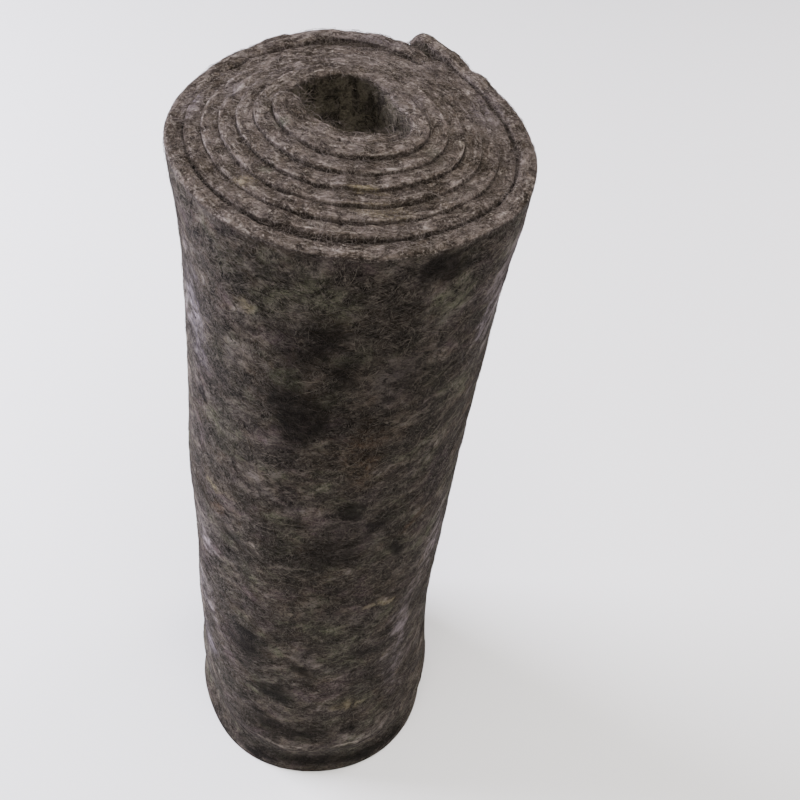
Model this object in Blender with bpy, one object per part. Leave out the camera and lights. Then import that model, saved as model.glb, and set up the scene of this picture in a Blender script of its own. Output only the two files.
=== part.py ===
# A roll of thick felt standing on one end. It is a single strip, wound from a folded start
# in the middle to a loose end that lifts off at the back. Units are metres, +Z is up and the
# front is -Y. Angles are in degrees from +X, anticlockwise seen from above.

import bpy
import numpy as np

# Sizes of the strip
FELT_WIDTH = 0.500
FELT_THICKNESS = 0.0070
EDGE_SOFTENING = 0.0015
# Turns pushed up by less than this are still pressed flat onto the ground
PRESSED_DOWN = 0.0025

# Spacing of the sections
LOOSE_END_ANGLE = 69.5
SECTION_STEP = 7.5
FOLD_STEP = 5.0
FOLD_NOSE_SECTIONS = 7

MM = 0.001

# The wound shape, one row per turn from the outside in: the outer radius at seven angles,
# then how far the turn stands up above the outside one at the front and at the back.
TURN_ANGLES = (30, 330, 270, 220, 180, 150, 90)
TURNS_MM = (
    # 30    330   270   220   180   150   90    front  back
    (79.0, 80.8, 79.4, 81.0, 81.2, 79.2, 80.2, 0.3, 3.4),
    (70.5, 72.4, 70.6, 72.2, 73.3, 71.1, 70.0, 2.2, 0.6),
    (62.8, 64.6, 62.4, 64.2, 65.8, 63.6, 62.2, 4.0, 2.2),
    (55.2, 56.9, 54.6, 56.4, 58.3, 56.1, 54.4, 6.0, 4.4),
    (47.6, 49.2, 46.8, 48.4, 50.8, 48.6, 46.6, 8.2, 6.8),
    (39.8, 41.5, 39.0, 40.4, 43.3, 41.1, 38.4, 10.4, 9.4),
    (29.4, 33.6, 30.8, 31.6, 35.6, 35.6, 35.6, 12.8, 11.6),
)

# The loose end: how far each place lies back from it in degrees, how far it stands off
# the turn's own radius, and how far it is lifted.
LOOSE_END = (
    # back   out_mm  up_mm
    (0.0, 6.4, 2.2),
    (12.0, 3.8, 1.9),
    (26.0, 0.7, 0.7),
    (42.0, 0.0, 0.0),
)

# The start of the strip is folded back on itself, so two pressed legs lie side by side.
# The outer leg runs on from the last turn to the nose and the inner leg comes back from it.
OUTER_LEG = (
    # angle  middle_radius_mm  thickness_mm
    (220.0, 28.1, 7.0),
    (203.0, 30.2, 6.0),
    (190.0, 32.0, 5.1),
    (180.0, 32.8, 4.8),
    (171.0, 32.8, 4.8),
)
INNER_LEG = (
    (171.0, 27.4, 4.8),
    (183.0, 25.9, 5.2),
    (196.0, 23.8, 6.0),
    (214.0, 20.9, 6.6),
    (240.0, 19.3, 6.8),
    (266.0, 19.6, 6.8),
    (288.0, 20.5, 6.6),
    (306.0, 21.4, 6.2),
)

# How the whole roll swells, narrows and leans with height
SWELL = (
    # share of height  scale of the plan  sideways_mm
    (0.00, 1.030, 0.0),
    (0.04, 1.042, -0.4),
    (0.14, 0.996, -1.3),
    (0.36, 0.966, -1.6),
    (0.78, 0.966, 0.3),
    (0.92, 0.980, 0.8),
    (1.00, 1.000, 0.0),
)

FELT_COLOUR = (0.072, 0.060, 0.053, 1.0)
FELT_ROUGHNESS = 0.95


def smooth_through(knots, values, at):
    # A smooth curve that passes through every row of a table
    knots = np.asarray(knots, float)
    values = np.asarray(values, float)
    at = np.asarray(at, float)
    slopes = np.gradient(values, knots)
    cell = np.clip(np.searchsorted(knots, at) - 1, 0, len(knots) - 2)
    width = knots[cell + 1] - knots[cell]
    t = (at - knots[cell]) / width
    start = (1 + 2 * t) * (1 - t) ** 2 * values[cell]
    start_slope = t * (1 - t) ** 2 * width * slopes[cell]
    end = t**2 * (3 - 2 * t) * values[cell + 1]
    end_slope = t**2 * (t - 1) * width * slopes[cell + 1]
    return start + start_slope + end + end_slope


def on_plan(angle, radius):
    turned = np.radians(angle)
    return np.stack([radius * np.cos(turned), radius * np.sin(turned)], axis=-1)


def wound_length():
    # Middle line of the wound turns, with its thickness and lift, from the loose end inwards
    table = np.array(TURNS_MM) * MM
    turn_places = []
    radii = []
    for turn, row in enumerate(table):
        for angle, radius in zip(TURN_ANGLES, row):
            turn_places.append(turn * 360 + (LOOSE_END_ANGLE - angle) % 360)
            radii.append(radius)
    first = table[0][TURN_ANGLES.index(90)]
    turn_places.insert(0, LOOSE_END_ANGLE - 90)
    radii.insert(0, first)
    last_place = (len(table) - 1) * 360 + LOOSE_END_ANGLE - OUTER_LEG[0][0] + 360
    place = np.arange(0, last_place - SECTION_STEP / 2, SECTION_STEP)
    angle = LOOSE_END_ANGLE - place
    radius = smooth_through(turn_places, radii, place) - FELT_THICKNESS / 2
    lift = turn_lift(place, angle)
    back, outwards, upwards = np.array(LOOSE_END).T
    radius += np.interp(place, back, outwards) * MM
    lift += np.interp(place, back, upwards) * MM
    return on_plan(angle, radius), np.full(len(place), FELT_THICKNESS), lift


def turn_lift(place, angle):
    front, back = np.array(TURNS_MM)[:, -2:].T * MM
    turn = np.arange(len(TURNS_MM)) * 360 + 180
    lift_front = smooth_through(turn, front, np.clip(place, turn[0], turn[-1]))
    lift_back = smooth_through(turn, back, np.clip(place, turn[0], turn[-1]))
    backness = 0.5 + 0.5 * np.sin(np.radians(angle))
    return lift_front * (1 - backness) + lift_back * backness


def leg(rows):
    angle, radius, thickness = np.array(rows).T
    forwards = np.sign(angle[-1] - angle[0])
    count = int(round(abs(angle[-1] - angle[0]) / FOLD_STEP)) + 1
    steps = np.linspace(angle[0], angle[-1], count)
    middle = smooth_through(angle * forwards, radius, steps * forwards) * MM
    thick = smooth_through(angle * forwards, thickness, steps * forwards) * MM
    return on_plan(steps, middle), thick


def folded_start():
    # The two legs and the half circle that joins them at the nose
    outer, outer_thick = leg(OUTER_LEG)
    inner, inner_thick = leg(INNER_LEG)
    heart = (outer[-1] + inner[0]) / 2
    across = (outer[-1] - inner[0]) / 2
    along = np.array([-across[1], across[0]])
    if np.dot(along, outer[-1] - outer[-2]) < 0:
        along = -along
    turned = np.radians(np.linspace(0, 180, FOLD_NOSE_SECTIONS + 2)[1:-1])
    nose = heart + np.outer(np.cos(turned), across) + np.outer(np.sin(turned), along)
    nose_thick = np.full(FOLD_NOSE_SECTIONS, outer_thick[-1])
    middle = np.concatenate([outer, nose, inner])
    thick = np.concatenate([outer_thick, nose_thick, inner_thick])
    lift = np.full(len(middle), TURNS_MM[-1][-2] * MM)
    return middle, thick, lift


def strip_sections():
    wound = wound_length()
    start = folded_start()
    middle, thick, lift = [np.concatenate(pair) for pair in zip(wound, start)]
    run = np.gradient(middle, axis=0)
    run /= np.linalg.norm(run, axis=1)[:, None]
    # The strip runs clockwise as it winds in, so its left side is the outside of the roll
    side = np.stack([-run[:, 1], run[:, 0]], axis=-1)
    outside = middle + side * thick[:, None] / 2
    inside = middle - side * thick[:, None] / 2
    return outside, inside, side, lift


def felt_mesh():
    outside, inside, side, lift = strip_sections()
    top = FELT_WIDTH + lift
    foot = np.maximum(lift - PRESSED_DOWN, 0)
    levels = np.array(SWELL)
    soft = EDGE_SOFTENING

    # Each section is a closed ring: up the outside, over the softened top, down the inside
    rings = []
    for face, order in ((outside, levels), (inside, levels[::-1])):
        for share, scale, sideways in order:
            height = foot + (top - soft - foot) * share
            plan = face * scale + (sideways * MM, 0)
            rings.append(np.column_stack([plan, height]))
    softened = [np.column_stack([face, top]) for face in (outside - side * soft, inside + side * soft)]
    rings[len(levels):len(levels)] = softened

    grid = np.stack(rings, axis=1)
    sections, around = grid.shape[:2]
    points = grid.reshape(-1, 3)
    middle = (points.min(axis=0) + points.max(axis=0)) / 2
    points[:, :2] -= middle[:2]

    faces = []
    for s in range(sections - 1):
        for r in range(around):
            after = (r + 1) % around
            here = s * around
            there = here + around
            faces.append((here + r, here + after, there + after, there + r))
    # The cut ends are closed with a ladder of faces between the outside and the inside
    for first, flip in ((0, True), ((sections - 1) * around, False)):
        for r in range(around // 2 - 1):
            ladder = (first + r, first + r + 1, first + around - 2 - r, first + around - 1 - r)
            faces.append(ladder[::-1] if flip else ladder)

    mesh = bpy.data.meshes.new("felt_roll")
    mesh.from_pydata(points.tolist(), [], faces)
    mesh.validate()
    mesh.update()
    return mesh


def felt_material():
    material = bpy.data.materials.new("felt")
    material.use_nodes = True
    shader = material.node_tree.nodes["Principled BSDF"]
    shader.inputs["Base Color"].default_value = FELT_COLOUR
    shader.inputs["Roughness"].default_value = FELT_ROUGHNESS
    material.diffuse_color = FELT_COLOUR
    return material


for thing in list(bpy.data.objects):
    bpy.data.objects.remove(thing, do_unlink=True)

roll = bpy.data.objects.new("felt_roll", felt_mesh())
bpy.context.scene.collection.objects.link(roll)
roll.data.materials.append(felt_material())
roll.data.shade_smooth()
roll.data.set_sharp_from_angle(angle=np.radians(35))
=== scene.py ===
import math
import bpy
import numpy as np
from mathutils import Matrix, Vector


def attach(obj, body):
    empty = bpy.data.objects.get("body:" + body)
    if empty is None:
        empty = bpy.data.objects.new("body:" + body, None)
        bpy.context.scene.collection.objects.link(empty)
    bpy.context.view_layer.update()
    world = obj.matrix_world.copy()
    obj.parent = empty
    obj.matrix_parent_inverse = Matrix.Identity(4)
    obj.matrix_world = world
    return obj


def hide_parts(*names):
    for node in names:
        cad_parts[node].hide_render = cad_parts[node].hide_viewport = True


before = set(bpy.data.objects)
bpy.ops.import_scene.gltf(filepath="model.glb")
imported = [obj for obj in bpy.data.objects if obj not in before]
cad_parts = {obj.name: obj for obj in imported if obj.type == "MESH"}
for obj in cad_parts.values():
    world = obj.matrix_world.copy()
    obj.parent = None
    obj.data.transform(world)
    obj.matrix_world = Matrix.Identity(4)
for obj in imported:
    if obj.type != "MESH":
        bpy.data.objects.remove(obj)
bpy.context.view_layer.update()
mm = 0.001

# The picture: where the camera stands and how it is turned, in metres and degrees
view = {
    "place": (0.00115, -0.40629, 0.79081),
    "turned": (40.878, -5.523, 1.045),
    "lens": 49.712,
}


def placeCamera():
    lens = bpy.data.cameras.new("camera")
    lens.lens = view["lens"]
    lens.sensor_width = 36
    lens.clip_start = 0.01
    lens.dof.use_dof = False
    camera = bpy.data.objects.new("camera", lens)
    bpy.context.scene.collection.objects.link(camera)
    camera.location = view["place"]
    camera.rotation_euler = [math.radians(angle) for angle in view["turned"]]
    bpy.context.scene.camera = camera


# The felt strip as it is wound. Angles are in degrees from +X, anticlockwise from above.
strip = {
    "width": 0.500,
    "thickness": 0.0070,
    "edgeRound": 0.0016,  # how far the cut top edge is rounded down
    "footRound": 0.0008,
    "pressedDown": 0.0025,  # turns pushed up by less than this still stand on the floor
    "looseEndAngle": 69.5,
    "firstTurn": 0.49,  # metres from the loose end to the end of the first turn
    "secondTurn": 0.95,
    "hidden": 0.50,  # from here on the strip lies inside the roll
    "seen": 0.52,  # up to here it is finished as the outside
    "centred": (0.001146, -0.000489),  # the shift that centres the CAD solid on its footprint
    "wideColumns": 0.0029,
    "fineColumns": 0.0008,
    "columnsPerBend": 8,  # columns for each bend radius of run
}

# One row per turn from the outside in: outer radius at seven angles, then the lift of its
# top edge at the front and at the back, all in mm
turnAngles = (30, 330, 270, 220, 180, 150, 90)
turns = (
    (79.0, 80.8, 79.4, 81.0, 81.2, 79.2, 80.2, 0.3, 3.4),
    (70.5, 72.4, 70.6, 72.2, 73.3, 71.1, 70.0, 2.2, 0.6),
    (62.8, 64.6, 62.4, 64.2, 65.8, 63.6, 62.2, 4.0, 2.2),
    (55.2, 56.9, 54.6, 56.4, 58.3, 56.1, 54.4, 6.0, 4.4),
    (47.6, 49.2, 46.8, 48.4, 50.8, 48.6, 46.6, 8.2, 6.8),
    (39.8, 41.5, 39.0, 40.4, 43.3, 41.1, 38.4, 10.4, 9.4),
    (29.4, 33.6, 30.8, 31.6, 35.6, 35.6, 35.6, 12.8, 11.6),
)

# The loose end: degrees back from it, mm off the turn's own radius, mm lifted
looseEnd = ((0, 6.4, 3.0), (12, 3.8, 2.2), (26, 0.7, 0.8), (42, 0, 0))
looseCorner = {"past": 3.0, "run": 0.0045, "drop": 0.0055}  # degrees past the end, then metres

# The folded start: angle, middle radius in mm, pressed thickness in mm
outerLeg = ((220, 28.1, 7.0), (203, 30.2, 6.0), (190, 32.0, 5.1), (180, 32.8, 4.8), (171, 32.8, 4.8))
innerLeg = (
    (171, 27.4, 4.8), (183, 25.9, 5.2), (196, 23.8, 6.0), (214, 20.9, 6.6),
    (240, 19.3, 6.8), (266, 19.6, 6.8), (288, 20.5, 6.6), (304, 21.5, 5.8), (314, 23.3, 3.6),
    (322, 24.9, 1.8),
)

# How the roll swells, narrows and leans: share of its height, scale of its plan, mm sideways
swell = (
    (0.000, 1.034, 0.0), (0.020, 1.026, -0.1), (0.048, 1.010, -0.5), (0.060, 1.020, -0.7),
    (0.076, 1.040, -0.9), (0.092, 1.034, -1.1), (0.120, 1.010, -1.4), (0.170, 0.987, -1.7),
    (0.360, 0.959, -1.9), (0.780, 0.957, 0.0), (0.920, 0.973, 0.6), (1.000, 0.998, 0.0),
)

# Where the whole roll is pressed in or stands out: angle, height in mm, reach to either side
# in degrees, reach up and down in mm, mm outwards
dents = (
    (38, 500, 17, 150, -2.4), (58, 500, 9, 120, -1.2), (12, 500, 18, 90, -1.2),
    (338, 485, 22, 45, 2.2), (200, 410, 28, 60, -1.6), (200, 285, 30, 45, 1.9),
    (200, 78, 34, 48, -3.6), (222, 30, 20, 22, -2.2), (340, 350, 30, 60, -1.2),
    (335, 180, 30, 60, -1.5), (345, 75, 26, 40, 1.0), (265, 230, 30, 60, -0.8),
    (262, 390, 14, 45, -1.0), (285, 120, 22, 40, -0.9), (300, 275, 10, 25, -1.0),
    (202, 28, 26, 38, -5.4), (120, 300, 40, 90, -1.6), (60, 180, 35, 70, -1.4), (90, 420, 30, 50, -1.2),
    (20, 330, 25, 60, 1.2), (150, 130, 30, 60, 1.2), (310, 12, 26, 14, 1.6),
)

# Waves of the first turn's top edge: angle, reach in degrees, mm up
edgeWaves = (
    (48, 5, -1.9), (61, 5, -1.7), (165, 28, -2.2), (130, 14, -0.9), (96, 24, 1.1),
    (215, 20, 0.5), (250, 16, -0.6), (300, 20, 0.5), (345, 15, 0.9),
)

# Heights of the rows of faces, as distances in mm from the foot and from the top edge
rowsFromFoot = (0, 4, 9, 14, 19, 23, 26, 29, 32, 35, 38, 42, 47, 54, 63)
rowsFromTop = (72, 60, 49, 39, 30, 22, 15, 10, 6.5, 4, 2.2, 1, 0)
rowSpacing = 14.0


def smoothThrough(knots, values, at):
    # A smooth curve through every row of a table
    knots = np.asarray(knots, float)
    values = np.asarray(values, float)
    at = np.asarray(at, float)
    slopes = np.gradient(values, knots)
    cell = np.clip(np.searchsorted(knots, at) - 1, 0, len(knots) - 2)
    width = knots[cell + 1] - knots[cell]
    t = (at - knots[cell]) / width
    start = (1 + 2 * t) * (1 - t) ** 2 * values[cell] + t * (1 - t) ** 2 * width * slopes[cell]
    end = t**2 * (3 - 2 * t) * values[cell + 1] + t**2 * (t - 1) * width * slopes[cell + 1]
    return start + end


def onPlan(angle, radius):
    turned = np.radians(angle)
    return np.stack([radius * np.cos(turned), radius * np.sin(turned)], axis=-1)


def topLift(place, angle):
    front, back = np.array(turns)[:, -2:].T * mm
    middles = np.arange(len(turns)) * 360 + 180
    liftFront = smoothThrough(middles, front, np.clip(place, middles[0], middles[-1]))
    liftBack = smoothThrough(middles, back, np.clip(place, middles[0], middles[-1]))
    backness = 0.5 + 0.5 * np.sin(np.radians(angle))
    return liftFront * (1 - backness) + liftBack * backness


def woundTurns():
    places = [strip["looseEndAngle"] - 90]
    radii = [turns[0][turnAngles.index(90)]]
    for turn, row in enumerate(turns):
        for angle, radius in zip(turnAngles, row):
            places.append(turn * 360 + (strip["looseEndAngle"] - angle) % 360)
            radii.append(radius)
    lastPlace = (len(turns) - 1) * 360 + strip["looseEndAngle"] - outerLeg[0][0] + 360
    place = np.arange(-looseCorner["past"], lastPlace - 0.5, 1.0)
    angle = strip["looseEndAngle"] - place
    radius = smoothThrough(places, radii, place) * mm - strip["thickness"] / 2
    lift = topLift(place, angle)
    back, outwards, upwards = np.array(looseEnd).T
    radius += np.interp(place, back, outwards) * mm
    lift += np.interp(place, back, upwards) * mm
    return onPlan(angle, radius), np.full(len(place), strip["thickness"]), lift


def foldLeg(rows):
    angle, radius, thickness = np.array(rows, float).T
    forwards = np.sign(angle[-1] - angle[0])
    steps = np.arange(0, abs(angle[-1] - angle[0]) + 0.5, 1.0) * forwards + angle[0]
    middle = smoothThrough(angle * forwards, radius, steps * forwards) * mm
    thick = smoothThrough(angle * forwards, thickness, steps * forwards) * mm
    return onPlan(steps, middle), thick


def foldedStart():
    outer, outerThick = foldLeg(outerLeg)
    inner, innerThick = foldLeg(innerLeg)
    heart = (outer[-1] + inner[0]) / 2
    across = (outer[-1] - inner[0]) / 2
    along = np.array([-across[1], across[0]])
    if np.dot(along, outer[-1] - outer[-2]) < 0:
        along = -along
    turned = np.radians(np.arange(8, 180, 8))
    nose = heart + np.outer(np.cos(turned), across) + np.outer(np.sin(turned), along)
    middle = np.concatenate([outer, nose, inner])
    thick = np.concatenate([outerThick, np.full(len(nose), outerThick[-1]), innerThick])
    return middle, thick, np.full(len(middle), turns[-1][-2] * mm)


def runLength(points):
    steps = np.linalg.norm(np.diff(points, axis=0), axis=-1)
    return np.concatenate([[0], np.cumsum(steps)])


def stripColumns():
    # The whole strip as evenly read columns, closer together where it bends sharply
    middle, thick, lift = [np.concatenate(pair) for pair in zip(woundTurns(), foldedStart())]
    along = runLength(middle)
    even = np.arange(0, along[-1], 0.0004)
    line = np.stack([np.interp(even, along, middle[:, axis]) for axis in (0, 1)], axis=-1)
    way = np.gradient(line, even, axis=0)
    way /= np.linalg.norm(way, axis=1)[:, None]
    bend = np.linalg.norm(np.gradient(way, even, axis=0), axis=1)
    bend = np.convolve(np.pad(bend, 8, mode="edge"), np.ones(17) / 17, mode="valid")
    spacing = np.clip(1 / (bend * strip["columnsPerBend"] + 1e-9), strip["fineColumns"], strip["wideColumns"])
    spacing = np.minimum(spacing, strip["fineColumns"] + 0.3 * np.minimum(even, even[-1] - even))
    count = np.concatenate([[0], np.cumsum(np.diff(even) / spacing[1:])])
    at = np.interp(np.arange(0, count[-1], 1.0), count, even)
    at = np.append(at[:-1], even[-1])
    columns = np.stack([np.interp(at, even, line[:, axis]) for axis in (0, 1)], axis=-1)
    way = np.gradient(columns, at, axis=0)
    way /= np.linalg.norm(way, axis=1)[:, None]
    side = np.stack([-way[:, 1], way[:, 0]], axis=-1)  # towards the outside of the roll
    return at, columns, side, np.interp(at, along, thick), np.interp(at, along, lift)


def softLumps(seed, across, up, sizes, height):
    # Slow hollows and swellings: a sum of a few waves in random directions
    random = np.random.default_rng(seed)
    total = np.zeros(np.broadcast(across, up).shape)
    for size in sizes:
        turned = random.uniform(0, 2 * math.pi)
        shift = random.uniform(0, 2 * math.pi)
        lying = across * math.cos(turned) + up * math.sin(turned)
        total = total + np.sin(2 * math.pi * lying / size + shift)
    return total * height / math.sqrt(len(sizes))


# Unevenness of the felt, in metres
uneven = {
    "faceSizes": (0.030, 0.045, 0.060, 0.075, 0.095, 0.130, 0.180),
    "faceHeight": 0.0006,
    "edgeSizes": (0.007, 0.009, 0.014, 0.022, 0.035, 0.060),
    "edgeHeight": 0.00045,
    "rimSizes": (0.006, 0.008, 0.011, 0.017, 0.026),
    "rimHeight": 0.00032,
    "fullest": 0.00085,  # the most that a face swells out towards the next turn
    "leftOpen": 0.00010,  # what then stays open between them
    "firstGap": 0.15,  # how much of that filling the gap behind the first turn gets
    "endTaper": 0.0014,
    "sameTurn": 0.0085,  # places on the strip nearer than this are one stretch of felt
    "faces": 0.0022,  # how far along the strip a face feels what is beside it
    "farthest": 0.01,
}


def roomBeside(at, middle, side, thick):
    # How far each face is from the next turn, on the outside and on the inside
    apart = np.abs(at[:, None] - at[None, :]) > uneven["sameTurn"]
    towards = middle[None, :, :] - middle[:, None, :]
    off = np.einsum("ijk,ik->ij", towards, side)
    past = np.abs(np.einsum("ijk,ik->ij", towards, np.stack([-side[:, 1], side[:, 0]], axis=-1)))
    walls = (thick[:, None] + thick[None, :]) / 2
    rooms = []
    for way in (1, -1):
        near = apart & (past < uneven["faces"]) & (off * way > 0)
        gap = np.where(near, np.abs(off) - walls, uneven["farthest"]).min(axis=1)
        smallest = np.minimum.reduce([np.roll(gap, 1), gap, np.roll(gap, -1)])
        rooms.append(np.clip(smallest, 0, uneven["farthest"]))
    return rooms


def plump(room, seed, at, start, end):
    # The felt is soft, so each face fills most of the room beside it, more in some places.
    # From start to end it faces the gap behind the first turn.
    fill = np.clip((room - uneven["leftOpen"]) / 2, 0, uneven["fullest"])
    patchy = 0.82 + softLumps(seed, at, 0, (0.03, 0.05, 0.08, 0.13), 0.22)
    first = (at > start) & (at < end)
    return fill * np.clip(patchy, 0.25, 1) * np.where(first, uneven["firstGap"], 1)


def dented(angle, height):
    # Metres that the roll stands out at each angle and height, for its outer turn
    total = 0
    for where, level, wide, tall, out in dents:
        turned = (angle - where + 180) % 360 - 180
        total = total + out * mm * np.exp(-(turned / wide) ** 2 - ((height / mm - level) / tall) ** 2)
    return total


def feltGrid():
    # Every column is a closed ring that starts under the foot, climbs the outside face, goes
    # over the cut top edge and comes down the inside face
    at, middle, side, thick, lift = stripColumns()
    angle = np.degrees(np.arctan2(middle[:, 1], middle[:, 0]))
    firstTurn = np.clip(at / 0.02, 0, 1) * np.clip((strip["seen"] - at) / 0.05, 0, 1)
    top = strip["width"] + lift + softLumps(3, at, 0, uneven["edgeSizes"], uneven["edgeHeight"])
    for where, wide, up in edgeWaves:
        top = top + up * mm * np.exp(-(((angle - where + 180) % 360 - 180) / wide) ** 2) * firstTurn
    top -= looseCorner["drop"] * (1 - np.clip(at / looseCorner["run"], 0, 1))
    foot = np.maximum(lift - strip["pressedDown"], 0)
    low = np.array(rowsFromFoot) * mm
    high = strip["width"] - strip["edgeRound"] - np.array(rowsFromTop) * mm
    between = int(round((high[0] - low[-1]) / (rowSpacing * mm)))
    heights = np.concatenate([low, np.linspace(low[-1], high[0], between + 1)[1:-1], high])
    shares = heights / heights[-1]
    levels = np.array(swell).T

    nearEnd = np.minimum(at, at[-1] - at) / uneven["endTaper"]
    taper = 0.45 + 0.55 * np.sqrt(1 - (1 - np.clip(nearEnd, 0, 1)) ** 2)
    roomOut, roomIn = roomBeside(at, middle, side, thick)
    outer = (thick / 2 + plump(roomOut, 21, at, strip["firstTurn"], strip["secondTurn"])) * taper
    inner = (thick / 2 + plump(roomIn, 22, at, 0, strip["firstTurn"])) * taper

    tall = (top - foot - strip["footRound"] - strip["edgeRound"])[:, None]
    height = foot[:, None] + strip["footRound"] + tall * shares
    lumps = softLumps(5, at[:, None], height, uneven["faceSizes"], uneven["faceHeight"])
    lumps = lumps * firstTurn[:, None] * np.clip((height - 0.002) / 0.03, 0, 1)
    rings = []

    def addRow(offset, level, share):
        plan = middle + side * np.asarray(offset)[:, None]
        turned = np.degrees(np.arctan2(plan[:, 1], plan[:, 0]))
        scale = smoothThrough(levels[0], levels[1], share) + dented(turned, level) / 0.080
        sideways = smoothThrough(levels[0], levels[2], share) * mm
        plan = plan * scale[:, None] + np.stack([sideways, sideways * 0], axis=-1)
        rings.append(np.column_stack([plan, level]))

    ground = np.zeros(1)
    tucked = strip["footRound"]
    addRow(outer * 0.4, foot, ground)
    addRow(outer - tucked * 0.8, foot + tucked * 0.15, ground)
    for row, share in enumerate(shares):
        addRow(outer + lumps[:, row], height[:, row], np.array([share]))
    # The cut edge: rounded at both sides, less where the next turn is close, with low ridges
    # that run along the strip
    rim = np.radians((10, 33, 56, 79, 101, 124, 147, 170))
    for step, turn in enumerate(rim):
        reach = np.where(math.cos(turn) > 0, outer, inner)
        close = np.clip(np.where(math.cos(turn) > 0, roomOut, roomIn) / 0.0020, 0.2, 1)
        across = np.sign(math.cos(turn)) * abs(math.cos(turn)) ** 0.7 * reach
        ridges = softLumps(31 + step, at, 0, uneven["rimSizes"], uneven["rimHeight"]) * taper
        addRow(across, top - strip["edgeRound"] * close * (1 - math.sin(turn) ** 0.8) + ridges, np.ones(1))
    for row, share in reversed(list(enumerate(shares))):
        addRow(-inner + lumps[:, row] * 0.3, height[:, row], np.array([share]))
    addRow(-inner + tucked * 0.8, foot + tucked * 0.15, ground)
    addRow(-inner * 0.4, foot, ground)
    grid = np.stack(rings, axis=1)
    return at, grid, len(shares)


def facesOfRings(columns, around):
    here = (np.arange(columns - 1)[:, None] * around + np.arange(around)).ravel()
    after = (np.arange(columns - 1)[:, None] * around + (np.arange(around) + 1) % around).ravel()
    faces = [np.stack([here, after, after + around, here + around], axis=-1)]
    # Both cut ends are closed by a ladder of faces from the outside to the inside
    step = np.arange(around // 2 - 1)
    ladder = np.stack([step, around - 1 - step, around - 2 - step, step + 1], axis=-1)
    faces.append(ladder)
    faces.append(ladder[:, ::-1] + (columns - 1) * around)
    return np.concatenate(faces)


def meshFromArrays(name, points, faces):
    mesh = bpy.data.meshes.new(name)
    count, corners = faces.shape
    mesh.vertices.add(len(points))
    mesh.vertices.foreach_set("co", points.astype(np.float32).ravel())
    mesh.loops.add(count * corners)
    mesh.loops.foreach_set("vertex_index", faces.astype(np.int32).ravel())
    mesh.polygons.add(count)
    mesh.polygons.foreach_set("loop_start", np.arange(0, count * corners, corners, dtype=np.int32))
    mesh.update(calc_edges=True)
    mesh.validate()
    mesh.shade_smooth()
    piece = bpy.data.objects.new(name, mesh)
    bpy.context.scene.collection.objects.link(piece)
    return piece


def surfaceNormals(grid):
    ahead = np.gradient(grid, axis=0)
    ringed = np.concatenate([grid[:, -1:], grid, grid[:, :1]], axis=1)
    around = ringed[:, 2:] - ringed[:, :-2]
    normals = np.cross(around, ahead)
    return normals / np.maximum(np.linalg.norm(normals, axis=-1), 1e-12)[..., None]


def makeFelt():
    at, grid, rows = feltGrid()
    columns, around = grid.shape[:2]
    flat = grid.reshape(-1, 3)
    flat[:, :2] += strip["centred"]
    flat[:, 2] = np.maximum(flat[:, 2], 0)
    felt = meshFromArrays("felt_strip", flat, facesOfRings(columns, around))

    # Places on the strip for the finish: along it, across its profile, and how near the cut edge
    profile = runLength(grid[columns // 2])
    pair = np.zeros((columns, around, 2))
    pair[..., 0] = at[:, None]
    pair[..., 1] = profile
    uv = felt.data.uv_layers.new(name="strip")
    corner = np.empty(len(felt.data.loops), np.int32)
    felt.data.loops.foreach_get("vertex_index", corner)
    mapped = pair.reshape(-1, 2)[corner]
    # Over the cut ends the map runs on across the felt's thickness
    ring = corner % around
    ends = np.arange(len(corner)) >= len(corner) - 8 * (around // 2 - 1)
    far = ends & (ring >= around // 2)
    mapped[far, 1] = profile[around - 1 - ring[far]]
    mapped[far, 0] += np.where(corner[far] < around, -1, 1) * strip["thickness"]
    uv.data.foreach_set("uv", mapped.astype(np.float32).ravel())
    edge = np.zeros((columns, around))
    firstRim = 2 + rows
    edge[:, firstRim:firstRim + 8] = 1
    edge[:, [firstRim - 1, firstRim + 8]] = 0.9
    edge[:, [firstRim - 2, firstRim + 9]] = 0.55
    edge[:, [firstRim - 3, firstRim + 10]] = 0.2
    # Inside the roll the steps between the turns are as fuzzy as the cut edge
    inside = at > strip["hidden"]
    edge[inside, firstRim - 4:firstRim] = 0.9
    mark = felt.data.attributes.new("cutEdge", "FLOAT", "POINT")
    mark.data.foreach_set("value", edge.astype(np.float32).ravel())
    print("felt strip:", round(at[-1], 3), "m long,", len(felt.data.polygons) * 2, "triangles")
    return felt, at, profile, grid, rows


# Loose fibres on the felt, each a thin strand: how many, how long, half their thickness and how
# far they are lifted, these three in mm, how curly they are, how far they lean off the strip's
# run, how many lie in a wisp and how far a wisp spreads, in metres. In the hollow: the share on
# the folded leg, and where they lie, in metres back from the inner end and down from the top.
fibres = {
    "outside": {
        "count": 11000, "long": (4, 20), "thick": (0.04, 0.09), "lift": (0.0, 0.45), "curl": 0.6,
        "lean": 1.15, "segments": 5, "seed": 11, "wisp": 12, "spread": 0.005,
    },
    "edge": {
        "count": 21600, "long": (2, 9), "thick": (0.035, 0.075), "lift": (0.1, 0.7), "curl": 0.9,
        "lean": 1.0, "segments": 4, "seed": 12, "wisp": 8, "spread": 0.0016,
    },
    "hollow": {
        "count": 2600, "long": (4, 14), "thick": (0.06, 0.11), "lift": (0.1, 1.2), "curl": 0.9,
        "segments": 5, "seed": 13, "legShare": 0.35, "legRun": 0.055, "wallRun": (0.29, 0.09), "deep": 0.2,
    },
}


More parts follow.
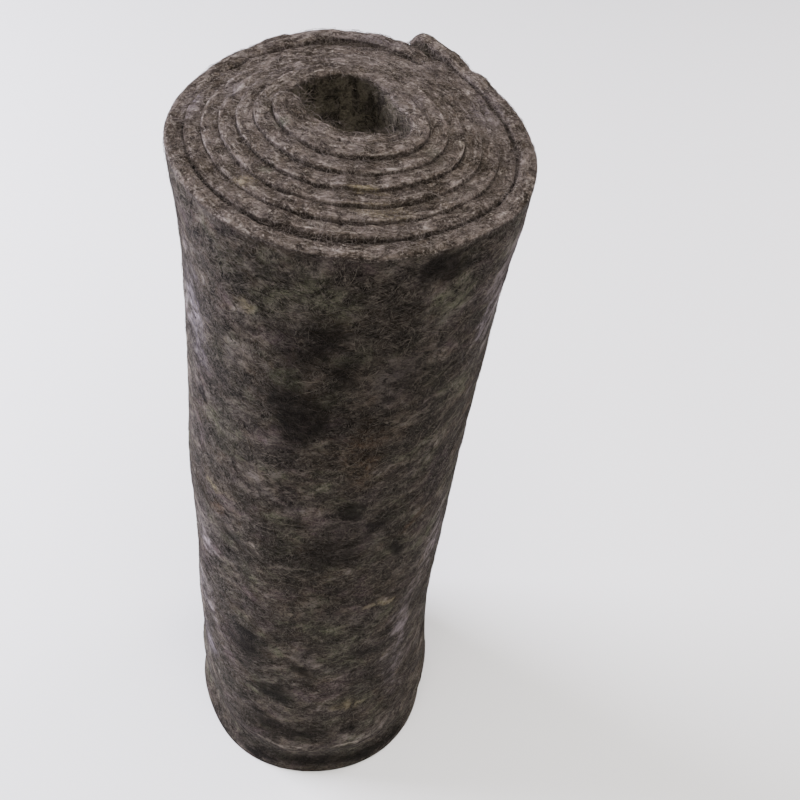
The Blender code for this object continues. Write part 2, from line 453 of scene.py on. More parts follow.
def onFelt(felt, along, across, lift):
    # The point that lies at a distance along the strip and around its profile
    at, profile, grid, normals = felt
    s = np.interp(along, at, np.arange(len(at)))
    r = np.interp(across, profile, np.arange(len(profile)))
    s0 = np.minimum(s.astype(int), len(at) - 2)
    r0 = np.minimum(r.astype(int), len(profile) - 2)
    fs = (s - s0)[..., None]
    fr = (r - r0)[..., None]

    def blend(values):
        near = values[s0, r0] * (1 - fr) + values[s0, r0 + 1] * fr
        far = values[s0 + 1, r0] * (1 - fr) + values[s0 + 1, r0 + 1] * fr
        return near * (1 - fs) + far * fs

    normal = blend(normals)
    normal /= np.linalg.norm(normal, axis=-1)[..., None]
    return blend(grid) + normal * lift[..., None], normal


def strands(paths, normals, radii):
    # Three-sided tubes that taper to a point at both ends
    count, points = paths.shape[:2]
    way = np.gradient(paths, axis=1)
    way /= np.maximum(np.linalg.norm(way, axis=-1), 1e-9)[..., None]
    first = normals - way * np.sum(normals * way, axis=-1)[..., None]
    first /= np.maximum(np.linalg.norm(first, axis=-1), 1e-9)[..., None]
    second = np.cross(way, first)
    taper = np.sin(np.linspace(0, math.pi, points)) ** 0.4
    wide = (radii[:, None] * taper)[..., None]
    rings = []
    for turned in (0, 2 * math.pi / 3, 4 * math.pi / 3):
        rings.append(paths + wide * (math.cos(turned) * first + math.sin(turned) * second))
    rings = np.stack(rings, axis=2)[:, 1:-1]
    inner = points - 2
    vertices = np.concatenate([paths[:, :1], rings.reshape(count, inner * 3, 3), paths[:, -1:]], axis=1)

    one = []
    last = inner * 3 + 1
    for corner in range(3):
        other = (corner + 1) % 3
        one.append((0, 1 + other, 1 + corner))
        for ring in range(inner - 1):
            here = 1 + ring * 3
            one.append((here + corner, here + other, here + 3 + other))
            one.append((here + corner, here + 3 + other, here + 3 + corner))
        one.append((last - 3 + corner, last - 3 + other, last))
    one = np.array(one)
    faces = (np.arange(count)[:, None, None] * (last + 1) + one).reshape(-1, 3)
    return vertices.reshape(-1, 3), faces, last + 1


def inWisps(random, count, each, low, high, spread, lean):
    # Fibres come in wisps of a few that lie near each other: where they start, how far each
    # wisp is turned from the rest, and how pale it is
    wisp = random.integers(0, max(count // each, 1), count)
    middle = random.uniform(low, high, (max(count // each, 1), 2))
    places = middle[wisp] + random.normal(0, spread, (count, 2))
    turned = random.choice([0, math.pi], count) + random.normal(0, 1, len(middle))[wisp] * lean
    tint = random.uniform(0, 1, len(middle))[wisp] + random.uniform(-0.35, 0.35, count)
    return places, turned, np.clip(tint, 0, 1)


def wander(random, turned, sizes):
    # The heading of each length of a fibre, as it curls away from how it starts
    count = len(turned)
    points = sizes["segments"] + 1
    curl = sizes["curl"]
    bend = random.normal(0, 0.25 * curl, (count, 1)) + random.normal(0, 0.40 * curl, (count, points))
    return turned[:, None] + np.cumsum(bend, axis=1)


def fibrePiece(name, random, paths, normals, sizes, pale, onStrip=None):
    radii = random.uniform(sizes["thick"][0], sizes["thick"][1], len(paths)) * mm
    vertices, faces, each = strands(paths, normals, radii)
    vertices[:, 2] = np.maximum(vertices[:, 2], 0.0002)
    piece = meshFromArrays(name, vertices, faces)
    tint = piece.data.attributes.new("tint", "FLOAT", "POINT")
    tint.data.foreach_set("value", np.repeat(pale, each).astype(np.float32))
    if onStrip is not None:
        pair = np.repeat(onStrip, each, axis=0)
        uv = piece.data.uv_layers.new(name="strip")
        corner = np.empty(len(piece.data.loops), np.int32)
        piece.data.loops.foreach_get("vertex_index", corner)
        uv.data.foreach_set("uv", pair[corner].astype(np.float32).ravel())
    print(name, len(faces), "triangles")
    return piece


def scatterFibres(name, felt, sizes, along, across, turned, pale):
    # Fibres that lie on a face of the strip, mostly along it
    random = np.random.default_rng(sizes["seed"])
    count = len(along)
    points = sizes["segments"] + 1
    length = random.uniform(sizes["long"][0], sizes["long"][1], count) * mm
    headings = wander(random, turned, sizes)
    step = (length / sizes["segments"])[:, None]
    u = along[:, None] + np.cumsum(step * np.cos(headings), axis=1)
    v = across[:, None] + np.cumsum(step * np.sin(headings), axis=1)
    u = np.clip(u, 0.0004, felt[0][-1] - 0.0004)
    bow = np.sin(np.linspace(0, math.pi, points))
    low, high = sizes["lift"]
    lift = (low + (high - low) * random.power(0.6, (count, 1)) * bow) * mm
    lift = lift + random.normal(0, 0.05, (count, points)) * mm
    paths, normals = onFelt(felt, u, v, lift)
    onStrip = np.stack([along, across], axis=-1)
    return fibrePiece(name, random, paths, normals, sizes, pale, onStrip)


def topLine(grid, rows):
    # The middle of the cut top edge, all along the strip
    return (grid[:, 2 + rows + 3] + grid[:, 2 + rows + 4]) / 2


def topUnder(crest, x, y):
    # The height of the nearest turn's top edge below a point, and its run there
    run = np.gradient(crest[:, :2], axis=0)
    run /= np.linalg.norm(run, axis=1)[:, None]
    shape = x.shape
    points = np.stack([x.ravel(), y.ravel()], axis=-1)
    nearest = np.empty(len(points), int)
    batch = 4000
    for start in range(0, len(points), batch):
        part = points[start:start + batch]
        apart = ((part[:, None] - crest[None, :, :2]) ** 2).sum(axis=-1)
        nearest[start:start + batch] = apart.argmin(axis=1)
    return crest[nearest, 2].reshape(shape), run[nearest].reshape(*shape, 2)


def laidOnTop(name, places, sizes, count, seed):
    # Fibres that lie across the cut edges and bridge the gaps between the turns
    random = np.random.default_rng(seed)
    at, profile, grid, rows = places
    points = sizes["segments"] + 1
    crest = topLine(grid, rows)
    low = (0, -0.0042)
    high = (at[-1], 0.0042)
    wisp, turned, pale = inWisps(random, count, sizes["wisp"], low, high, sizes["spread"], sizes["lean"])
    column = np.interp(wisp[:, 0], at, np.arange(len(at))).astype(int)
    start = crest[column, :2] + wisp[:, 1:] + random.uniform(-0.0016, 0.0016, (count, 2))
    ahead = topUnder(crest, start[:, 0], start[:, 1])[1]
    length = random.uniform(sizes["long"][0], sizes["long"][1], count) * mm
    turned = turned + np.arctan2(ahead[:, 1], ahead[:, 0])
    headings = wander(random, turned, sizes)
    step = (length / sizes["segments"])[:, None]
    x = start[:, :1] + np.cumsum(step * np.cos(headings), axis=1)
    y = start[:, 1:] + np.cumsum(step * np.sin(headings), axis=1)
    level = topUnder(crest, x, y)[0]
    bow = np.sin(np.linspace(0, math.pi, points))
    low, high = sizes["lift"]
    lift = (low + (high - low) * random.power(0.6, (count, 1)) * bow) * mm
    # Past the outer rim a fibre is bent down against the roll's side
    rim = grid[at < strip["hidden"], 2 + rows, :2]
    bearing = np.unwrap(np.arctan2(rim[:, 1], rim[:, 0])) % (2 * math.pi)
    order = np.argsort(bearing)
    rimReach = np.linalg.norm(rim, axis=1)
    reach = np.interp(np.arctan2(y, x) % (2 * math.pi), bearing[order], rimReach[order])
    over = np.clip(np.hypot(x, y) - reach + 0.0004, 0, None)
    pull = 1 - over * 0.85 / np.hypot(x, y)
    x = x * pull
    y = y * pull
    z = level + lift - over * 0.9 + random.normal(0, 0.06, (count, points)) * mm
    # Each fibre keeps a steady height, so it runs over the small steps between turns
    z = (z + z.mean(axis=1, keepdims=True)) / 2
    paths = np.stack([x, y, z], axis=-1)
    normals = np.broadcast_to([0.0, 0.0, 1.0], paths.shape)
    return fibrePiece(name, random, paths, normals, sizes, pale)


def makeFuzz(places):
    random = np.random.default_rng(7)
    at, profile, grid, rows = places
    felt = (at, profile, grid, surfaceNormals(grid))
    topStart = profile[rows + 1]
    topEnd = profile[rows + 10]
    outside = []
    edges = []

    # Outside of the roll: the first turn's outer face, all the way down
    for half in range(2):
        sizes = dict(fibres["outside"], seed=fibres["outside"]["seed"] + half * 50)
        count = sizes["count"] // 2
        low = (0.0, profile[2])
        high = (strip["seen"], topStart + 0.001)
        wisp, turned, pale = inWisps(random, count, sizes["wisp"], low, high, sizes["spread"], sizes["lean"])
        along = np.clip(wisp[:, 0], 0.0, strip["seen"])
        across = np.clip(wisp[:, 1], profile[2], topStart + 0.001)
        name = "outside_fibres_" + str(half + 1)
        outside.append(scatterFibres(name, felt, sizes, along, across, turned, pale))

    # The cut top edge of every turn
    for half in range(2):
        seed = fibres["edge"]["seed"] + half * 50
        name = "edge_fibres_" + str(half + 1)
        edges.append(laidOnTop(name, places, fibres["edge"], fibres["edge"]["count"] // 2, seed))

    # The wall of the hollow: the last turn's inner face and the folded leg in front of it
    sizes = fibres["hollow"]
    count = sizes["count"]
    onLeg = random.uniform(0, 1, count) < sizes["legShare"]
    onLegAt = random.uniform(at[-1] - sizes["legRun"], at[-1], count)
    onWallAt = random.uniform(at[-1] - sizes["wallRun"][0], at[-1] - sizes["wallRun"][1], count)
    along = np.where(onLeg, onLegAt, onWallAt)
    depth = random.power(0.7, count) * sizes["deep"]
    across = np.where(onLeg, topStart - depth, topEnd + depth)
    turned = random.uniform(0, 2 * math.pi, count)
    pale = random.uniform(0, 1, count)
    outside.append(scatterFibres("hollow_fibres", felt, sizes, along, across, turned, pale))
    return outside, edges


# Colours of the wool, and of the painted light and shade laid on it, as linear red, green and blue
wool = {
    # the darkest wool, near black; the same colour also paints the shade in the gaps between the turns and
    # along the foot
    "darkWoolAndShade": (0.0030, 0.0024, 0.0018),
    "umber": (0.025, 0.016, 0.010),
    "violet": (0.019, 0.013, 0.014),
    "brown": (0.013, 0.0098, 0.0068),
    "grey": (0.027, 0.022, 0.0175),
    "sage": (0.020, 0.021, 0.013),
    # painted light: the paler colour laid on the wall of the hollow, standing in for light falling into it
    "paintedHollowLight": (0.086, 0.076, 0.054),
    "stone": (0.056, 0.048, 0.041),
    "straw": (0.068, 0.057, 0.034),
    "lilac": (0.072, 0.062, 0.070),
    "blush": (0.080, 0.067, 0.071),
    "pale": (0.150, 0.128, 0.106),
    "cutBrown": (0.038, 0.030, 0.024),
    "cutGrey": (0.084, 0.068, 0.061),
    "cutPale": (0.240, 0.206, 0.184),
    "cutStraw": (0.180, 0.148, 0.092),
    "cutSage": (0.062, 0.064, 0.049),
    "cutLilac": (0.115, 0.096, 0.108),
}

# Tufts of differently dyed wool that show on the outside, and patches of painted light and shade: angle,
# height in mm, half width and half height in mm, slant in degrees, colour, strength
tufts = (
    (262, 388, 24, 30, 0, "darkWoolAndShade", 0.50), (250, 402, 13, 13, 0, "darkWoolAndShade", 0.45),
    (265, 446, 12, 26, -25, "darkWoolAndShade", 0.7), (273, 426, 10, 17, 0, "darkWoolAndShade", 0.45),
    (301, 488, 15, 13, 0, "darkWoolAndShade", 1.45), (308, 468, 16, 16, 0, "sage", 0.8),
    (281, 321, 9, 9, 20, "darkWoolAndShade", 0.85), (290, 303, 9, 5, -35, "darkWoolAndShade", 0.6),
    (304, 271, 8, 9, 0, "darkWoolAndShade", 0.85), (311, 288, 12, 4, 50, "umber", 0.9),
    (214, 368, 8, 6, -20, "darkWoolAndShade", 0.9), (212, 205, 8, 6, 0, "violet", 1.2),
    # Painted shade: the three dark rows low on the front darken the band along the foot, below the low ridge
    (246, 9, 17, 5, 0, "darkWoolAndShade", 1.6), (308, 14, 28, 7, -4, "darkWoolAndShade", 1.6), (275, 16, 80, 15, 0, "darkWoolAndShade", 0.7),
    (255, 66, 9, 8, -20, "darkWoolAndShade", 0.9), (245, 73, 9, 4, -20, "darkWoolAndShade", 0.6),
    (291, 62, 10, 7, -25, "darkWoolAndShade", 0.9), (317, 68, 8, 6, 20, "darkWoolAndShade", 0.8),
    (319, 104, 5, 5, 0, "umber", 1.1), (238, 175, 11, 7, -20, "darkWoolAndShade", 0.8),
    (234, 131, 10, 8, -20, "darkWoolAndShade", 0.7), (294, 162, 11, 7, 0, "darkWoolAndShade", 0.7),
    (267, 143, 11, 6, 0, "darkWoolAndShade", 0.7), (257, 305, 11, 7, 0, "darkWoolAndShade", 0.6),
    (334, 365, 6, 12, -60, "umber", 0.9), (222, 286, 17, 7, 15, "umber", 0.8),
    (246, 108, 6, 10, 0, "darkWoolAndShade", 0.6),
    # Painted light: the lilac and blush patches on the left side, at 205 to 210 degrees, stand in for the
    # light falling from the left
    (209, 420, 24, 52, 0, "lilac", 0.5), (205, 165, 26, 46, 0, "blush", 0.5),
    (210, 235, 20, 20, 0, "blush", 0.45), (206, 104, 24, 34, 0, "lilac", 0.45),
    # Painted highlight: the lilac patch at 327 degrees paints rim light on the upper right edge
    (217, 78, 7, 7, 0, "pale", 0.45), (327, 432, 15, 28, 0, "lilac", 0.45),
    (320, 328, 15, 26, 0, "violet", 0.8), (333, 240, 18, 64, 0, "blush", 0.45),
    (283, 372, 13, 48, 0, "umber", 0.75), (257, 262, 14, 4, 12, "pale", 0.5),
    (243, 268, 4, 13, 30, "pale", 0.45), (238, 458, 12, 8, 20, "straw", 0.55),
    (254, 418, 11, 11, 0, "sage", 0.9), (222, 302, 12, 6, 15, "straw", 0.5),
    # Painted highlight: these two pale rows draw the light line along the low ridge near the foot
    (255, 41, 36, 3.5, 0, "pale", 0.5), (290, 41, 28, 3.0, 0, "pale", 0.35),
    (300, 215, 22, 4, -5, "straw", 0.6), (290, 92, 14, 11, 0, "straw", 0.6),
    (262, 126, 10, 5, 0, "pale", 0.45), (276, 195, 20, 20, 0, "sage", 0.6),
    (20, 250, 40, 60, 0, "lilac", 0.2), (60, 380, 34, 30, 0, "darkWoolAndShade", 0.7),
    (100, 200, 40, 40, 0, "sage", 0.6), (130, 330, 34, 46, 0, "violet", 0.5),
    (150, 90, 40, 26, 0, "darkWoolAndShade", 0.6), (80, 70, 36, 30, 0, "straw", 0.5),
    (336, 450, 26, 80, 0, "blush", 0.5), (316, 150, 20, 110, 0, "blush", 0.4),
    (286, 425, 34, 60, 0, "darkWoolAndShade", 0.32), (256, 402, 19, 62, 0, "darkWoolAndShade", 0.50),
    (285, 300, 40, 40, 0, "darkWoolAndShade", 0.25),
    (240, 158, 20, 22, -20, "darkWoolAndShade", 0.7), (255, 106, 20, 16, 0, "darkWoolAndShade", 0.7),
    (268, 60, 32, 15, 0, "darkWoolAndShade", 0.6), (230, 270, 20, 12, -10, "darkWoolAndShade", 0.6),
    # Painted light: the pale patch at 197 degrees here and the one at 198 degrees below brighten the left
    # edge where the light falls
    (197, 140, 24, 46, 0, "pale", 0.30), (272, 275, 26, 30, 0, "darkWoolAndShade", 0.35),
    (198, 380, 22, 46, 0, "pale", 0.30), (250, 60, 24, 26, 0, "darkWoolAndShade", 0.5),
)

# The same on the cut top edges: middle and half size in mm on the plan, colour, strength
edgeTufts = (
    (9, -47, 12, 2.8, "cutStraw", 1.3), (48, -10, 3.5, 5, "pale", 0.9), (-29, -14, 6, 5, "cutSage", 1.1),
    (-33, -39, 7, 4, "cutSage", 1.0), (-42, -44, 9, 8, "cutStraw", 0.8), (2, 60, 14, 3, "umber", 1.1),
    (54, 0, 4, 6, "umber", 1.0), (-70, 10, 8, 22, "cutLilac", 0.8), (54.5, 12, 5, 3.5, "darkWoolAndShade", 1.2),
    (16, -57, 22, 8, "cutStraw", 0.7), (-18, -56, 16, 9, "umber", 0.6), (66, -11, 4, 9, "darkWoolAndShade", 0.7),
    (-5, -66, 24, 6, "pale", 0.5), (33, 47, 14, 8, "umber", 0.6), (-53, 20, 8, 14, "cutLilac", 0.7),
    (60, 22, 14, 26, "cutLilac", 0.8), (6, 72, 34, 9, "cutLilac", 0.75),
    (28, 14, 7, 14, "cutLilac", 0.8), (-48, -20, 8, 12, "pale", 0.5), (36, -22, 10, 9, "cutSage", 0.6),
)


def addNode(tree, kind, values=None, links=None, **settings):
    node = tree.nodes.new(kind)
    for name, value in settings.items():
        setattr(node, name, value)
    for name, value in (values or {}).items():
        node.inputs[name].default_value = value
    for name, socket in (links or {}).items():
        tree.links.new(socket, node.inputs[name])
    return node


def clouds(tree, where, scale, detail=2.0, rough=0.5, warp=0.0):
    values = {"Scale": scale, "Detail": detail, "Roughness": rough, "Distortion": warp}
    return addNode(tree, "ShaderNodeTexNoise", values, {"Vector": where}).outputs["Fac"]


def moved(tree, where, shift=(0, 0, 0), stretch=(1, 1, 1), turned=0.0):
    values = {"Location": shift, "Rotation": (0, 0, turned), "Scale": stretch}
    return addNode(tree, "ShaderNodeMapping", values, {"Vector": where}).outputs["Vector"]


def between(tree, value, low, high, start=0.0, end=1.0):
    values = {"From Min": low, "From Max": high, "To Min": start, "To Max": end}
    return addNode(tree, "ShaderNodeMapRange", values, {"Value": value}).outputs["Result"]


def maths(tree, operation, *parts):
    node = addNode(tree, "ShaderNodeMath", operation=operation)
    for place, value in enumerate(parts):
        if isinstance(value, (int, float)):
            node.inputs[place].default_value = value
        else:
            tree.links.new(value, node.inputs[place])
    return node.outputs[0]


def tinted(tree, share, under, over, blend="MIX"):
    # over laid on under; each is a colour or a socket, share a number or a socket
    node = addNode(tree, "ShaderNodeMix", data_type="RGBA", blend_type=blend)
    for place, value in ((0, share), (6, under), (7, over)):
        if isinstance(value, (int, float)):
            node.inputs[place].default_value = value
        elif isinstance(value, tuple):
            node.inputs[place].default_value = (*value, 1)
        else:
            tree.links.new(value, node.inputs[place])
    return node.outputs[2]


def strayed(tree, where, scale, reach):
    # The same places, pushed about so that patches get ragged outlines
    push = addNode(tree, "ShaderNodeTexNoise", {"Scale": scale, "Detail": 3.0}, {"Vector": where})
    middle = moved(tree, where, tuple(-part / 2 for part in reach))
    node = addNode(tree, "ShaderNodeVectorMath", operation="MULTIPLY_ADD")
    tree.links.new(push.outputs["Color"], node.inputs[0])
    node.inputs[1].default_value = reach
    tree.links.new(middle, node.inputs[2])
    return node.outputs[0]


def spots(tree, where, rows):
    # How strongly any of these spots covers a place: middle, half size, slant, strength
    total = 0.0
    for middle, half, slant, strength in rows:
        values = {"Location": (*middle, 0), "Rotation": (0, 0, slant), "Scale": (*half, 1)}
        local = addNode(tree, "ShaderNodeMapping", values, {"Vector": where}, vector_type="TEXTURE")
        glow = addNode(tree, "ShaderNodeTexGradient", gradient_type="SPHERICAL")
        tree.links.new(local.outputs[0], glow.inputs[0])
        total = maths(tree, "MULTIPLY_ADD", glow.outputs["Fac"], strength * 2, total)
    return total


# Fine lines on the felt's face: turned in radians, how drawn out along and across, how wide,
# and where the pattern starts
faceLines = {
    "along": ((0.35, 110, 800, 0.040, 0.3), (-0.6, 110, 800, 0.040, 1.7)),
    "over": ((1.1, 130, 850, 0.040, 2.9), (-1.3, 130, 850, 0.040, 4.1)),
}


def streaks(tree, where, turned, long, thin, width, shift):
    # Drawn-out lines at an angle to the strip: where a stretched noise passes its middle
    lying = moved(tree, moved(tree, where, (shift, shift * 0.7, 0), turned=turned), stretch=(long, thin, 1))
    noise = clouds(tree, lying, 1.0, 1.5, 0.5, 0.9)
    away = maths(tree, "ABSOLUTE", maths(tree, "SUBTRACT", noise, 0.5))
    return between(tree, away, 0, width, 1, 0)


def stripPlace(places, angle, height):
    # Where an angle and a height on the outside of the roll lie on the strip's own map
    at, profile, grid, rows = places
    outside = grid[:, 2:2 + rows]
    turned = np.degrees(np.unwrap(np.arctan2(outside[:, rows // 2, 1], outside[:, rows // 2, 0])))
    wanted = turned[8] - (turned[8] - angle) % 360
    along = np.interp(-wanted, -turned, at)
    column = int(np.interp(along, at, np.arange(len(at))))
    return along, np.interp(height, outside[column, :, 2], profile[2:2 + rows])


def tuftRows(places, colour):
    rows = []
    for angle, height, wide, tall, slant, name, strength in tufts:
        if name == colour:
            middle = stripPlace(places, angle, height * mm)
            # the strip's map runs the other way round than the angle
            rows.append((middle, (wide * mm, tall * mm), -math.radians(slant), strength))
    return rows


def edgeRows(colour):
    rows = []
    for x, y, wide, deep, name, strength in edgeTufts:
        if name == colour:
            rows.append(((x * mm, y * mm), (wide * mm, deep * mm), 0, strength))
    return rows


def woolColour(tree, onStrip, places):
    # The mottled colour of the felt's face with the painted light and shade among its listed tufts, its
    # smallest tufts, and how dark its dark tufts and the painted shade at the foot are
    palm = clouds(tree, moved(tree, onStrip, (0.3, 0.1, 0.7)), 24, 3.0, 0.6, 0.6)
    other = clouds(tree, moved(tree, onStrip, (5.3, 2.6, 0.2)), 34, 3.0, 0.6, 0.6)
    slanted = moved(tree, moved(tree, onStrip, turned=0.5), stretch=(0.8, 1, 1))
    thumb = clouds(tree, moved(tree, slanted, (0.9, 2.1, 1.4)), 100, 3.0, 0.62, 0.6)
    tuft = clouds(tree, moved(tree, slanted, (3.1, 0.4, 2.2)), 290, 3.0, 0.65, 0.7)
    colour = tinted(tree, between(tree, palm, 0.44, 0.58), wool["brown"], wool["grey"])
    colour = tinted(tree, between(tree, other, 0.53, 0.62, 0, 0.8), colour, wool["violet"])
    colour = tinted(tree, between(tree, other, 0.47, 0.38, 0, 0.8), colour, wool["sage"])
    colour = tinted(tree, between(tree, thumb, 0.55, 0.66, 0, 0.6), colour, wool["stone"])
    colour = tinted(tree, between(tree, palm, 0.57, 0.68, 0, 0.15), colour, wool["lilac"])
    colour = tinted(tree, between(tree, palm, 0.45, 0.36, 0, 0.7), colour, wool["darkWoolAndShade"])

    ragged = strayed(tree, onStrip, 70, (0.022, 0.014, 0))
    worn = maths(tree, "MULTIPLY_ADD", thumb, 1.4, -0.7)
    # The listed tufts, among them the painted light on the left side and the painted highlights on the low
    # ridge and the upper right
    for name in ("umber", "violet", "sage", "straw", "lilac", "blush", "pale"):
        share = maths(tree, "ADD", spots(tree, ragged, tuftRows(places, name)), worn)
        colour = tinted(tree, between(tree, share, 0.25, 0.95, 0, 0.9), colour, wool[name])

    # Denser and thinner places make the wool lighter or darker
    wide = clouds(tree, moved(tree, slanted, (1.7, 4.2, 0.5)), 48, 2.0, 0.5, 0.5)
    narrow = clouds(tree, moved(tree, slanted, (6.1, 1.3, 3.3)), 125, 2.0, 0.55, 0.5)
    wide = between(tree, wide, 0.37, 0.63, 0.45, 1.80)
    narrow = between(tree, narrow, 0.37, 0.63, 0.30, 1.95)
    colour = tinted(tree, 1.0, colour, maths(tree, "MULTIPLY", wide, narrow), "MULTIPLY")

    # The wall of the hollow: painted light makes it a paler grey, as if lit from the front above, and darker
    # streaks run over it
    along = addNode(tree, "ShaderNodeSeparateXYZ", links={"Vector": onStrip}).outputs["X"]
    end = float(places[0][-1])
    hollow = between(tree, along, end - 0.33, end - 0.28)
    drawn = clouds(tree, moved(tree, onStrip, stretch=(170, 45, 1)), 1.0, 2.0, 0.6, 0.5)
    drawn = maths(tree, "MULTIPLY", hollow, between(tree, drawn, 0.50, 0.36, 0, 0.85))
    colour = tinted(tree, maths(tree, "MULTIPLY", hollow, 0.8), colour, wool["paintedHollowLight"])
    colour = tinted(tree, drawn, colour, wool["darkWoolAndShade"])

    # Small tufts lighter and darker than the rest
    colour = tinted(tree, between(tree, thumb, 0.46, 0.36, 0, 0.8), colour, wool["darkWoolAndShade"])
    colour = tinted(tree, between(tree, tuft, 0.48, 0.36, 0, 0.8), colour, wool["darkWoolAndShade"])
    colour = tinted(tree, between(tree, tuft, 0.54, 0.70, 0, 0.35), colour, wool["pale"])
    shaggy = strayed(tree, onStrip, 110, (0.026, 0.020, 0))
    frayed = maths(tree, "MULTIPLY_ADD", tuft, 1.0, -0.5)
    frayed = maths(tree, "ADD", worn, frayed)
    # The dark tufts, among them the painted shade along the foot
    share = maths(tree, "ADD", spots(tree, shaggy, tuftRows(places, "darkWoolAndShade")), frayed)
    dark = between(tree, share, 0.20, 1.15, 0, 0.76)
    return colour, tuft, dark


def feltFinish(places):
    material = bpy.data.materials.new("needled_wool_felt")
    material.use_nodes = True
    tree = material.node_tree
    shader = tree.nodes["Principled BSDF"]
    edge = addNode(tree, "ShaderNodeAttribute", attribute_name="cutEdge").outputs["Fac"]
    onStrip = addNode(tree, "ShaderNodeUVMap", uv_map="strip").outputs["UV"]
    colour, tuft, dark = woolColour(tree, onStrip, places)

    # Fibres in the felt's face cross each other every way, a little more along the strip
    fine = clouds(tree, moved(tree, onStrip, stretch=(0.85, 1, 1)), 900, 3.0, 0.7, 0.6)
    lines = maths(tree, "MAXIMUM", *[streaks(tree, onStrip, *row) for row in faceLines["along"]])
    crossed = maths(tree, "MAXIMUM", *[streaks(tree, onStrip, *row) for row in faceLines["over"]])
    broken = clouds(tree, moved(tree, onStrip, (7, 3, 0)), 130, 2.0, 0.5)
    lines = maths(tree, "MULTIPLY", lines, between(tree, broken, 0.40, 0.58))
    crossed = maths(tree, "MULTIPLY", crossed, between(tree, broken, 0.56, 0.42))
    seen = maths(tree, "MAXIMUM", lines, crossed)
    colour = tinted(tree, between(tree, fine, 0.50, 0.28, 0, 0.85), colour, wool["darkWoolAndShade"])
    colour = tinted(tree, between(tree, fine, 0.54, 0.78, 0, 0.40), colour, wool["pale"])
    colour = tinted(tree, maths(tree, "MULTIPLY", seen, 0.42), colour, wool["pale"])
    # the dark tufts, with the painted shade along the foot
    colour = tinted(tree, dark, colour, wool["darkWoolAndShade"])

    # On the cut edge they show as short pale dashes in darker wool
    where = addNode(tree, "ShaderNodeTexCoord").outputs["Object"]
    dashes = clouds(tree, moved(tree, onStrip, stretch=(160, 520, 1)), 1.0, 3.0, 0.65, 0.8)
    specks = clouds(tree, where, 800, 2.0, 0.6, 0.4)
    wide = clouds(tree, where, 75, 3.0, 0.6, 0.5)
    cut = tinted(tree, between(tree, wide, 0.38, 0.62), wool["cutBrown"], wool["cutGrey"])
    clump = clouds(tree, where, 210, 2.0, 0.55, 0.6)
    cut = tinted(tree, 1.0, cut, between(tree, clump, 0.36, 0.64, 0.5, 1.6), "MULTIPLY")
    ragged = strayed(tree, where, 120, (0.006, 0.006, 0))
    worn = maths(tree, "MULTIPLY_ADD", dashes, 1.2, -0.6)
    for name in ("umber", "cutSage", "cutStraw", "cutLilac", "blush", "darkWoolAndShade", "pale"):
        share = maths(tree, "ADD", spots(tree, ragged, edgeRows(name)), worn)
        cut = tinted(tree, between(tree, share, 0.25, 0.95, 0, 0.75), cut, wool[name])
    cut = tinted(tree, between(tree, dashes, 0.53, 0.70, 0, 0.65), cut, wool["cutPale"])
    cut = tinted(tree, between(tree, dashes, 0.46, 0.33, 0, 0.6), cut, wool["darkWoolAndShade"])
    # Painted shade: away from the middle of the rim, down into the gaps between the turns, the cut edge is
    # darkened
    across = addNode(tree, "ShaderNodeSeparateXYZ", links={"Vector": onStrip}).outputs["Y"]
    profile = places[1]
    rows = places[3]
    rimMiddle = float(profile[rows + 5] + profile[rows + 6]) / 2
    aside = maths(tree, "ABSOLUTE", maths(tree, "SUBTRACT", across, rimMiddle))
    aside = maths(tree, "MULTIPLY_ADD", dashes, 0.0022, aside)
    cut = tinted(tree, between(tree, aside, 0.0042, 0.0080, 0, 0.72), cut, wool["darkWoolAndShade"])
    cut = tinted(tree, between(tree, specks, 0.47, 0.32, 0, 0.5), cut, wool["darkWoolAndShade"])
    cut = tinted(tree, between(tree, specks, 0.55, 0.70, 0, 0.6), cut, wool["cutPale"])
    colour = tinted(tree, edge, colour, cut)

    height = maths(tree, "MULTIPLY_ADD", seen, 0.22, maths(tree, "MULTIPLY_ADD", fine, 0.55, tuft))
    cutHeight = maths(tree, "MULTIPLY_ADD", dashes, 1.1, maths(tree, "MULTIPLY", specks, 0.5))
    height = maths(tree, "MULTIPLY", height, maths(tree, "SUBTRACT", 1.0, edge))
    height = maths(tree, "MULTIPLY_ADD", cutHeight, edge, height)
    bump = addNode(tree, "ShaderNodeBump", {"Strength": 0.7, "Distance": 0.0012}, {"Height": height})
    tree.links.new(bump.outputs["Normal"], shader.inputs["Normal"])
    tree.links.new(colour, shader.inputs["Base Color"])
    shader.inputs["Roughness"].default_value = 0.95
    shader.inputs["Specular IOR Level"].default_value = 0.03
    shader.inputs["Sheen Weight"].default_value = 0.012
    shader.inputs["Sheen Roughness"].default_value = 0.25
    return material


def outsideFibreFinish(places):
    material = bpy.data.materials.new("loose_wool_fibre")
    material.use_nodes = True
    tree = material.node_tree
    shader = tree.nodes["Principled BSDF"]
    tint = addNode(tree, "ShaderNodeAttribute", attribute_name="tint").outputs["Fac"]
    onStrip = addNode(tree, "ShaderNodeUVMap", uv_map="strip").outputs["UV"]
    colour, _, dark = woolColour(tree, onStrip, places)
    colour = tinted(tree, between(tree, tint, 0.0, 0.35, 0.35, 0), colour, wool["darkWoolAndShade"])
    colour = tinted(tree, between(tree, tint, 0.50, 0.95, 0, 0.2), colour, wool["pale"])
    colour = tinted(tree, between(tree, tint, 0.92, 1.0, 0, 0.8), colour, wool["pale"])
    colour = tinted(tree, maths(tree, "MULTIPLY", dark, 0.8), colour, wool["darkWoolAndShade"])
    tree.links.new(colour, shader.inputs["Base Color"])
    shader.inputs["Roughness"].default_value = 0.85
    shader.inputs["Specular IOR Level"].default_value = 0.04
    return material


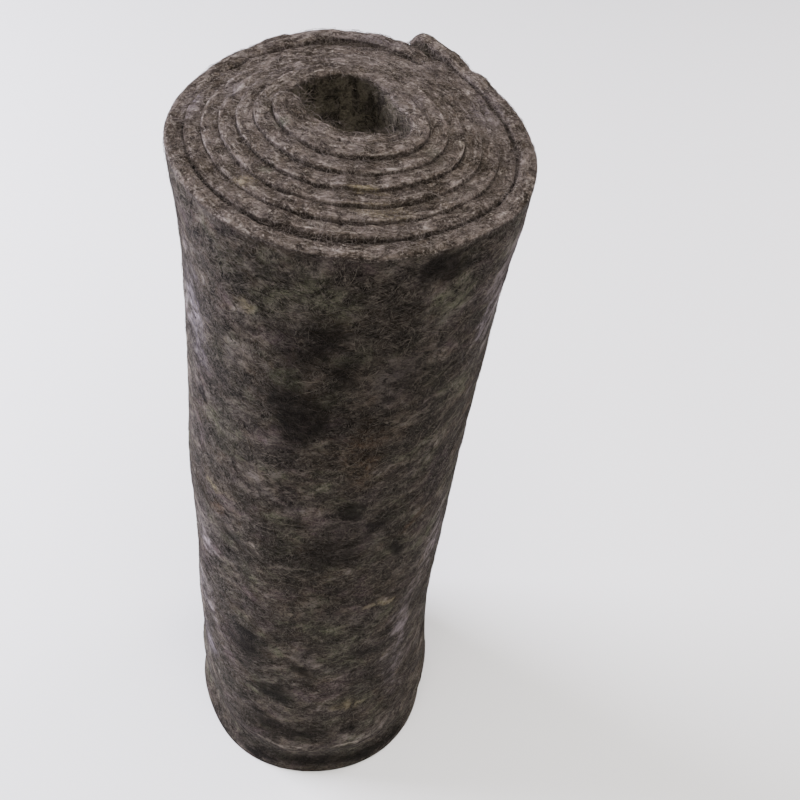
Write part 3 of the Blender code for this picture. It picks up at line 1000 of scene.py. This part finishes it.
def edgeFibreFinish():
    material = bpy.data.materials.new("edge_wool_fibre")
    material.use_nodes = True
    tree = material.node_tree
    shader = tree.nodes["Principled BSDF"]
    where = addNode(tree, "ShaderNodeTexCoord").outputs["Object"]
    tint = addNode(tree, "ShaderNodeAttribute", attribute_name="tint").outputs["Fac"]
    patch = clouds(tree, where, 75, 3.0, 0.6, 0.5)
    colour = tinted(tree, between(tree, patch, 0.35, 0.65), wool["cutBrown"], wool["cutGrey"])
    colour = tinted(tree, between(tree, tint, 0.0, 0.40, 0.8, 0), colour, wool["darkWoolAndShade"])
    colour = tinted(tree, between(tree, tint, 0.55, 1.0, 0, 0.6), colour, wool["cutPale"])
    tree.links.new(colour, shader.inputs["Base Color"])
    shader.inputs["Roughness"].default_value = 0.85
    shader.inputs["Specular IOR Level"].default_value = 0.04
    return material


# The plain room: floor size in metres, brightness of the sky, and each soft light's place,
# size, strength in watts and colour
room = {
    "floor": 6.0,
    "floorColour": (0.88, 0.88, 0.88),
    "sky": 0.22,
    "skyColour": (1.0, 0.97, 0.92),
    "lights": {
        "left": ((-1.6, 0.44, 0.9), 1.0, 142, (0.86, 0.85, 1.0)),
        "top": ((0.05, -0.48, 2.05), 1.2, 60, (1.0, 0.97, 0.92)),
        "right": ((1.5, 0.75, 0.9), 0.8, 30, (1.0, 0.93, 0.98)),
    },
    "aim": (0, 0, 0.3),
}


def makeRoom():
    bpy.ops.object.select_all(action="DESELECT")
    bpy.ops.mesh.primitive_plane_add(size=room["floor"], location=(0, 0, -0.0005))
    floor = bpy.context.object
    floor.name = "floor"
    bpy.ops.object.transform_apply(location=True, rotation=True, scale=True)
    paper = bpy.data.materials.new("pale_floor")
    paper.use_nodes = True
    shader = paper.node_tree.nodes["Principled BSDF"]
    shader.inputs["Base Color"].default_value = (*room["floorColour"], 1)
    shader.inputs["Roughness"].default_value = 0.9
    floor.data.materials.append(paper)

    world = bpy.data.worlds.new("studio")
    world.use_nodes = True
    world.node_tree.nodes["Background"].inputs["Color"].default_value = (*room["skyColour"], 1)
    world.node_tree.nodes["Background"].inputs["Strength"].default_value = room["sky"]
    bpy.context.scene.world = world

    for name, (place, size, strength, colour) in room["lights"].items():
        lamp = bpy.data.lights.new("light_" + name, "AREA")
        lamp.size = size
        lamp.energy = strength
        lamp.color = colour
        light = bpy.data.objects.new("light_" + name, lamp)
        bpy.context.scene.collection.objects.link(light)
        light.location = place
        towards = [aim - start for aim, start in zip(room["aim"], place)]
        light.rotation_euler = Vector(towards).to_track_quat("-Z", "Y").to_euler()
    print("room: floor, sky and", len(room["lights"]), "soft lights")


placeCamera()
felt, *feltPlaces = makeFelt()
outsideFuzz, edgeFuzz = makeFuzz(feltPlaces)
felt.data.materials.append(feltFinish(feltPlaces))
strandFinish = outsideFibreFinish(feltPlaces)
for piece in outsideFuzz:
    piece.data.materials.append(strandFinish)
edgeFinish = edgeFibreFinish()
for piece in edgeFuzz:
    piece.data.materials.append(edgeFinish)
makeRoom()

fuzz = outsideFuzz + edgeFuzz
for piece in [felt, *fuzz]:
    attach(piece, "root")
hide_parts("felt_roll")
